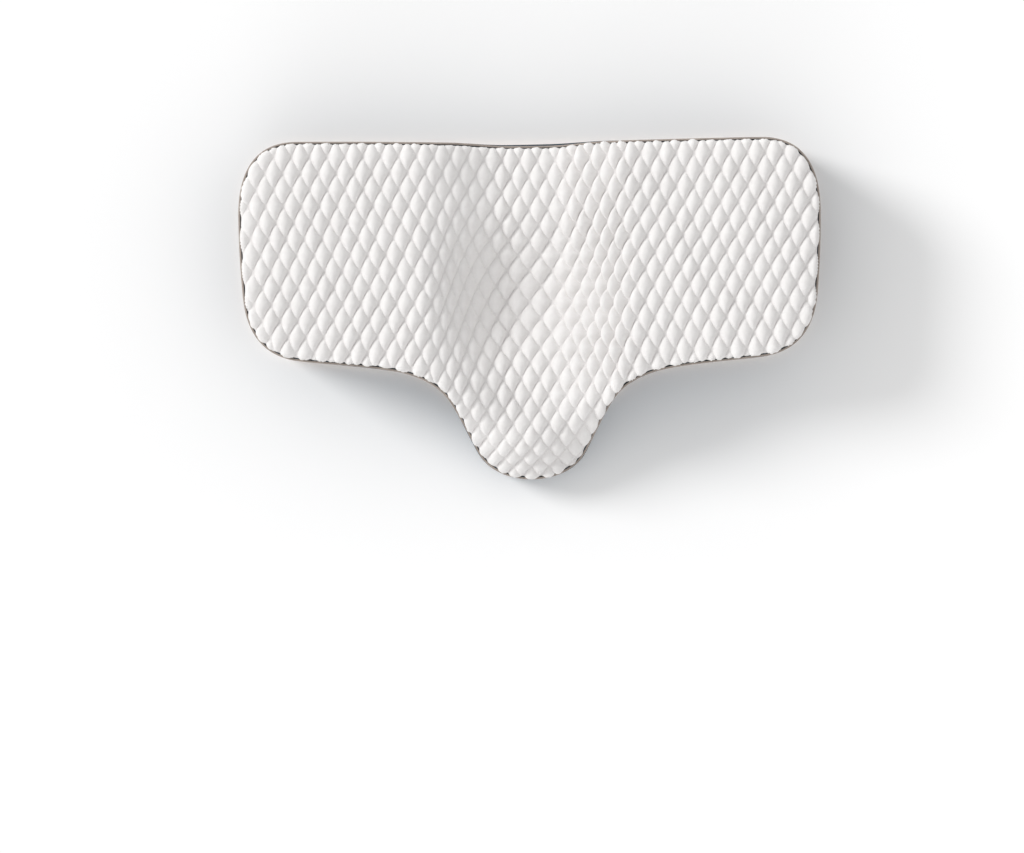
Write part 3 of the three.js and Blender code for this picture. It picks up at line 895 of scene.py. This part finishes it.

# %% [markdown]
# ## The cloths
# Cloth scatters light in its fibres, so each shader is matt, with a little sheen and a weak reflection.
# The colours run between two near tones by the slow noise of the fibres. On the top, painted shade makes
# the creases a warmer grey, and near-black painted shade lies in small gaps where the stitch lines reach
# the piping. Painted shade also darkens the holes of the mesh, the weave between its threads and the
# upright end seams. A picture of cloth would blur close up and repeat, so all of it is worked out by
# nodes.

# %% Material helpers
MIX_SHARE, MIX_FIRST, MIX_SECOND, MIXED = 0, 6, 7, 2  # the colour sockets of the Mix node
TONE_RANGE = (0.3, 0.7)  # of the fibres' slow noise
SHEEN_ROUGHNESS, REFLECTION = 0.5, 0.18


def use(tree, node_group, vector, **values):
    """A node group placed in a material, on a vector."""
    node = add(tree, "ShaderNodeGroup", node_tree=node_group)
    tree.links.new(vector, node.inputs["Vector"])
    for key, value in values.items():
        node.inputs[key.replace("_", " ")].default_value = value
    return node


def tint(tree, share, first, second):
    """A colour between two, each a colour or an output."""
    node = add(tree, "ShaderNodeMix", data_type="RGBA")
    tree.links.new(share, node.inputs[MIX_SHARE])
    for socket, value in zip((node.inputs[MIX_FIRST], node.inputs[MIX_SECOND]), (first, second)):
        if isinstance(value, bpy.types.NodeSocket):
            tree.links.new(value, socket)
        else:
            socket.default_value = (*value, 1)
    return node.outputs[MIXED]


def cloth_tone(tree, fibres, tones):
    """The cloth's colour: one of two tones, or between them, by the slow noise of its fibres."""
    return tint(tree, ramp(tree, fibres.outputs["Tone"], *TONE_RANGE), *tones)


def point_value(tree, name):
    """A number that the mesh holds for each of its points."""
    return add(tree, "ShaderNodeAttribute", attribute_name=name).outputs["Fac"]


def cloth_material(name, roughness, sheen):
    """A matt cloth shader: the material, its tree, its shader, and the node with its coordinates."""
    material = bpy.data.materials.new(name)
    material.use_nodes = True
    tree = material.node_tree
    shader = tree.nodes["Principled BSDF"]
    shader.inputs["Roughness"].default_value = roughness
    shader.inputs["Sheen Weight"].default_value = sheen
    shader.inputs["Sheen Roughness"].default_value = SHEEN_ROUGHNESS
    shader.inputs["Specular IOR Level"].default_value = REFLECTION
    place = add(tree, "ShaderNodeTexCoord")
    return material, tree, shader, place


def set_bump(tree, shader, layers):
    """Bumps on top of each other: each layer is a height output, its depth in metres and a strength."""
    before = None
    for height_output, depth_m, strength in layers:
        values = {"Distance": depth_m, "Strength": strength}
        bump = add(tree, "ShaderNodeBump", {"Height": height_output}, values)
        if before is not None:
            tree.links.new(before, bump.inputs["Normal"])
        before = bump.outputs[0]
    tree.links.new(before, shader.inputs["Normal"])


# %% White quilted knit
KNIT_TONES = (0.825, 0.805, 0.795), (0.875, 0.86, 0.85)
# painted shade in the creases between the puffs, a warmer grey than the knit's own tones
KNIT_CREASE_SHADE = (0.77, 0.75, 0.74)
# near-black painted shade in the gaps between the puffs and the piping
SEAM_GAP_SHADE = (0.012, 0.012, 0.014)
# the loft over which the painted crease shade fades out
CREASE_SHADE_LOFT = (0.0, 0.2)
GAP_SHADE_REACH, GAP_SHADE_LOFT, GAP_SHADE_CHANCE = (0.6 * MM, 1.8 * MM), (0.3, 0.6), (0.48, 0.58)
GAP_SHADE_PATCH = 2.5 * MM


def seam_gap_shade(tree, uv, loft_value):
    """Where near-black painted shade darkens the seam: close to the rim, between two puffs, and not at
    every one.
    """
    near_rim = math(tree, "SUBTRACT", 1.0, ramp(tree, point_value(tree, "from_rim"), *GAP_SHADE_REACH))
    between = math(tree, "SUBTRACT", 1.0, ramp(tree, loft_value, *GAP_SHADE_LOFT))
    uneven = ramp(tree, use(tree, FIBRES, uv, Fibre_size=GAP_SHADE_PATCH).outputs["Tone"], *GAP_SHADE_CHANCE)
    return math(tree, "MULTIPLY", math(tree, "MULTIPLY", near_rim, between), uneven)


def quilt_material():
    """White knit: painted shade in the creases, a warmer grey, and near-black painted shade where stitch
    lines reach the piping.
    """
    material, tree, shader, place = cloth_material("white quilted knit", roughness=0.9, sheen=0.15)
    uv = place.outputs["UV"]
    fibres, knit = use(tree, FIBRES, uv, Fibre_size=0.7 * MM), use(tree, KNIT, uv)
    loft_value = point_value(tree, "loft")
    tone = cloth_tone(tree, fibres, KNIT_TONES)
    # painted shade: the knit turns grey where the puff's loft is low, in the creases
    crease_shaded = tint(tree, ramp(tree, loft_value, *CREASE_SHADE_LOFT), KNIT_CREASE_SHADE, tone)
    # painted shade, near black, in some gaps between the puffs at the rim
    seam_shaded = tint(tree, seam_gap_shade(tree, uv, loft_value), crease_shaded, SEAM_GAP_SHADE)
    tree.links.new(seam_shaded, shader.inputs["Base Color"])
    fine = fibres.outputs["Height"]
    set_bump(tree, shader, [(knit.outputs["Height"], 0.4 * MM, 0.9), (fine, 0.4 * MM, 0.4)])
    return material


# %% Navy spacer mesh
MESH_TONES = (0.014, 0.070, 0.130), (0.026, 0.096, 0.168)
# painted shade: the near-black colour in each hole of the mesh
MESH_HOLE_SHADE = (0.002, 0.009, 0.018)
# painted shade in the groove of the upright seam at each strip's end
END_SEAM_SHADE = (0.006, 0.018, 0.03)
END_SEAM_REACH = (0.6 * MM, 2.2 * MM)


def shade_end_seam(tree, colour):
    """The colour, with painted shade within 2 mm of the upright seam at a strip's end."""
    return tint(tree, ramp(tree, point_value(tree, "from_end"), *END_SEAM_REACH), END_SEAM_SHADE, colour)


def mesh_material():
    """Navy spacer mesh: bright ridges between holes of near-black painted shade."""
    material, tree, shader, place = cloth_material("navy spacer mesh", roughness=0.75, sheen=0.04)
    uv = place.outputs["UV"]
    holes, fibres = use(tree, HOLES, uv), use(tree, FIBRES, uv, Fibre_size=0.9 * MM)
    # painted shade in the holes of the mesh
    holed = tint(tree, holes.outputs["Hole"], cloth_tone(tree, fibres, MESH_TONES), MESH_HOLE_SHADE)
    tree.links.new(shade_end_seam(tree, holed), shader.inputs["Base Color"])
    fine = fibres.outputs["Height"]
    set_bump(tree, shader, [(holes.outputs["Height"], 1.2 * MM, 0.8), (fine, 0.4 * MM, 0.4)])
    return material


# %% Woven band and piping
SLATE_TONES = (0.007, 0.026, 0.049), (0.011, 0.034, 0.061)
TAUPE_TONES = (0.36, 0.31, 0.275), (0.48, 0.42, 0.375)
# painted shade between the threads: a share of the darker tone
SHADE_BETWEEN_THREADS = 0.6  # of the darker tone


def woven_material(name, tones, thread, seam_shaded):
    """Plain woven cloth of two tones, painted shade between threads and, if asked, at its end seams."""
    material, tree, shader, place = cloth_material(name, roughness=0.88, sheen=0.04)
    uv = place.outputs["UV"]
    weave, fibres = use(tree, WEAVE, uv, Thread=thread), use(tree, FIBRES, uv, Fibre_size=thread)
    # painted shade between the threads of the weave
    deep = tuple(SHADE_BETWEEN_THREADS * part for part in tones[0])
    tone = cloth_tone(tree, fibres, tones)
    shaded = tint(tree, ramp(tree, weave.outputs["Height"], 0.0, 0.6), deep, tone)
    tree.links.new(shade_end_seam(tree, shaded) if seam_shaded else shaded, shader.inputs["Base Color"])
    fine = fibres.outputs["Height"]
    set_bump(tree, shader, [(weave.outputs["Height"], 0.4 * thread, 0.6), (fine, 0.3 * MM, 0.4)])
    return material


# %% Cream base and pale floor
CREAM_TONES = (0.76, 0.61, 0.51), (0.83, 0.70, 0.61)
FLOOR_TONES = (0.95, 0.95, 0.95), (0.97, 0.97, 0.97)


def base_material():
    """Cream knit, smooth, on the plain coordinates of the piece."""
    material, tree, shader, place = cloth_material("cream base knit", roughness=0.85, sheen=0.1)
    flat = place.outputs["Object"]
    knit, fibres = use(tree, KNIT, flat, Course=1 * MM), use(tree, FIBRES, flat, Fibre_size=0.8 * MM)
    tree.links.new(cloth_tone(tree, fibres, CREAM_TONES), shader.inputs["Base Color"])
    fine = fibres.outputs["Height"]
    set_bump(tree, shader, [(knit.outputs["Height"], 0.3 * MM, 0.4), (fine, 0.3 * MM, 0.3)])
    return material


def floor_material():
    """Pale matt floor with hardly any tone of its own."""
    material, tree, shader, place = cloth_material("pale floor", roughness=0.95, sheen=0.0)
    grain = use(tree, FIBRES, place.outputs["Object"], Fibre_size=20 * MM)
    tree.links.new(tint(tree, grain.outputs["Tone"], *FLOOR_TONES), shader.inputs["Base Color"])
    return material


# %% Finish each piece
BAND_THREAD, PIPING_THREAD = 0.9 * MM, 0.7 * MM

floor.data.materials.append(floor_material())
slate = woven_material("slate plain weave", SLATE_TONES, BAND_THREAD, seam_shaded=True)
taupe = woven_material("taupe piping weave", TAUPE_TONES, PIPING_THREAD, seam_shaded=False)
FINISHES = [
    (quilt, "quilted_top", "quilted_knit", quilt_material()),
    (border, "mesh_border", "spacer_mesh", mesh_material()),
    (band, "back_band", "plain_band", slate),
    (base, "base_panel", "base_fabric", base_material()),
    (piping, "piping", "piping_cord", taupe),
]
for piece, node, slot, material in FINISHES:
    piece.data.materials.append(material)
    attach(piece, "root")
    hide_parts(node)
print(f"{len(FINISHES)} pieces finished")
